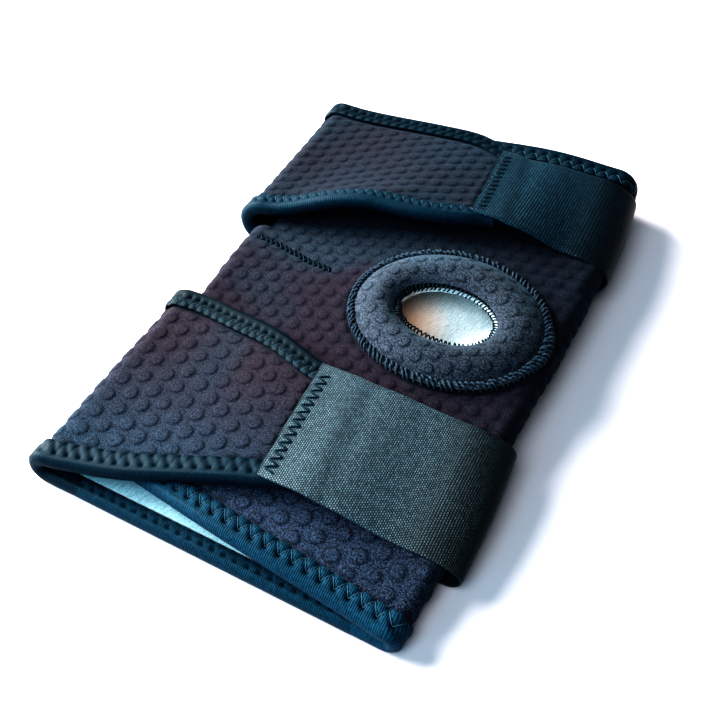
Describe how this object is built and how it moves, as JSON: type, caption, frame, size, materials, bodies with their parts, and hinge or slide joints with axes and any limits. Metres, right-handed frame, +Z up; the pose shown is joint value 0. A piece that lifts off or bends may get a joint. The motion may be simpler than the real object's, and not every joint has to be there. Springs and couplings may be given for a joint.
{
  "type": "open-patella knee brace",
  "caption": "Knee brace lying flat: a dotted neoprene sleeve with a padded round kneecap opening, closed by folded-over wings and wide elastic straps, edges bound with tape.",
  "frame": {"origin": "centre of the footprint on the surface the brace lies on", "axes": "+Y along the leg towards the thigh end, +X towards the side the straps fold round, +Z up through the kneecap opening"},
  "size_m": [0.1797, 0.276, 0.0389],
  "materials": {
    "dotted_neoprene": "embossed knit face with raised round dots",
    "ring_padding": "embossed knit over foam",
    "lining_jersey": "matt melange jersey",
    "edge_tape": "fine ribbed tape with zigzag stitching",
    "elastic_webbing": "woven elastic with fine ribs",
    "hook_tape": "short plastic hooks"
  },
  "bodies": {
    "root": {"front_panel": "dotted_neoprene", "front_lining": "lining_jersey", "patella_ring": "ring_padding", "back_panel": "dotted_neoprene", "back_lining": "lining_jersey", "lower_wing": "dotted_neoprene", "upper_wing": "dotted_neoprene", "lower_strap": "elastic_webbing", "upper_strap": "elastic_webbing", "lower_hook_tab": "hook_tape", "upper_hook_tab": "hook_tape", "calf_edge_tape": "edge_tape", "thigh_edge_tape": "edge_tape", "lower_wing_tape": "edge_tape", "upper_wing_tape": "edge_tape"}
  },
  "joints": []
}
